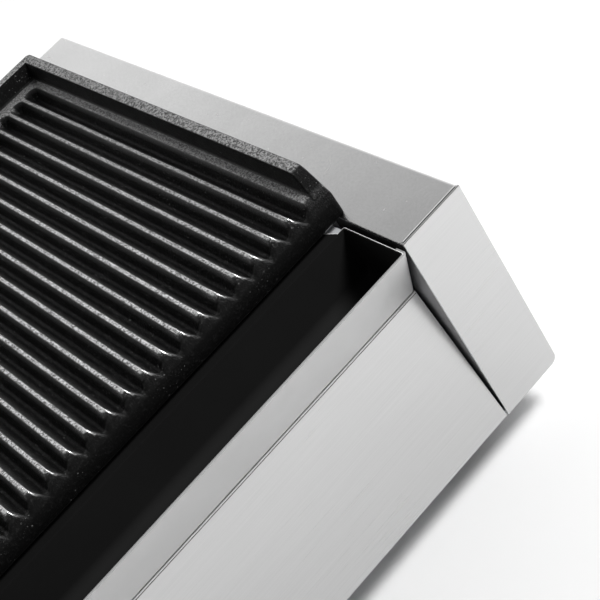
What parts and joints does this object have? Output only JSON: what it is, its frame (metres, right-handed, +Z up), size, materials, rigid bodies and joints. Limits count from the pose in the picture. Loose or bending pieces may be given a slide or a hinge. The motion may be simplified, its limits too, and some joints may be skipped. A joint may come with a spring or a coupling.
{
  "type": "countertop electric grill",
  "caption": "Countertop electric grill: ribbed cast-iron plate with guards in a stainless casing, a pull-out front drip tray, and a leaning control panel with knob, switch and pilot lamps.",
  "frame": {"origin": "middle of the footprint, on the surface that the feet stand on", "axes": "+X to the user's right along the casing's width, +Y to the back, +Z up"},
  "size_m": [0.3966, 0.3416, 0.145],
  "materials": {
    "stainless": "brushed along X",
    "zinc_sheet": "zinc plated, dull",
    "cast_plate": "seasoned, fine orange peel, semi-gloss",
    "enamel": "black enamel, satin",
    "fibre": "ceramic fibre felt",
    "element_sheath": "heat-darkened",
    "zinc_fastener": "zinc plated",
    "brass_fitting": "plain",
    "copper_lead": "drawn copper",
    "black_plastic": "fine spark-eroded",
    "gloss_black": "gloss",
    "dial_plate": "satin anodised",
    "regulator": "phenolic",
    "green_lens": "translucent",
    "amber_lens": "translucent",
    "red_button": "gloss",
    "ceramic_white": null,
    "wire_sleeve": null,
    "foot_rubber": "matt"
  },
  "bodies": {
    "chassis": {"base_pan": "zinc_sheet", "base_screws": "zinc_fastener", "bonding_nuts": "brass_fitting", "bonding_stud": "brass_fitting", "bulb_clip": "zinc_sheet", "cable_gland": "black_plastic", "clamp_bar_front": "zinc_sheet", "clamp_bar_rear": "zinc_sheet", "clamp_nuts": "zinc_fastener", "dial_ring": "dial_plate", "foot_front_left": "foot_rubber", "foot_front_right": "foot_rubber", "foot_nuts": "zinc_fastener", "foot_rear_left": "foot_rubber", "foot_rear_right": "foot_rubber", "foot_screws": "zinc_fastener", "front_panel": "stainless", "gland_locknut": "black_plastic", "grill_plate": "cast_plate", "heat_shield": "zinc_sheet", "heating_element_left": "element_sheath", "heating_element_right": "element_sheath", "heating_lamp_body": "black_plastic", "heating_lamp_lens": "amber_lens", "insulation_blanket": "fibre", "left_arm_cheek": "stainless", "left_front_cap": "stainless", "left_tray_rail": "zinc_sheet", "limit_nut": "zinc_fastener", "limit_thermostat": "regulator", "plate_gasket": "fibre", "plate_studs": "zinc_fastener", "power_lamp_body": "black_plastic", "power_lamp_lens": "green_lens", "rear_angle_left": "zinc_sheet", "rear_angle_right": "zinc_sheet", "rear_panel": "zinc_sheet", "rear_screws": "zinc_fastener", "right_arm_cheek": "stainless", "right_front_cap": "stainless", "right_tray_rail": "zinc_sheet", "shield_nuts": "zinc_fastener", "switch_housing": "black_plastic", "terminal_block": "ceramic_white", "terminal_screws": "zinc_fastener", "thermostat_body": "regulator", "thermostat_capillary": "copper_lead", "thermostat_nut": "zinc_fastener", "top_casing": "stainless", "tray_bay_wall": "zinc_sheet", "wiring_loom": "wire_sleeve"},
    "tray": {"drip_tray": "enamel", "tray_fascia": "stainless"},
    "knob": {"control_knob": "black_plastic", "thermostat_shaft": "zinc_fastener"},
    "rocker": {"switch_rocker": "gloss_black"},
    "reset": {"reset_button": "red_button"}
  },
  "joints": [
    {"name": "tray_slide", "type": "slide", "parent": "chassis", "child": "tray", "axis": [0, -1, 0], "range_m": [0, 0.042]},
    {"name": "knob_turn", "type": "hinge", "parent": "chassis", "child": "knob", "pos_m": [-0.086, -0.14754, 0.05502], "axis": [0, 0.9873, -0.1588], "range_deg": [0, 270]},
    {"name": "rocker_tilt", "type": "hinge", "parent": "chassis", "child": "rocker", "pos_m": [-0.142, -0.14557, 0.05471], "axis": [-1, 0, 0], "range_deg": [0, 20]},
    {"name": "reset_push", "type": "slide", "parent": "chassis", "child": "reset", "axis": [0, -1, 0], "range_m": [0, 0.0025], "stiffness_N_per_m": 400}
  ]
}
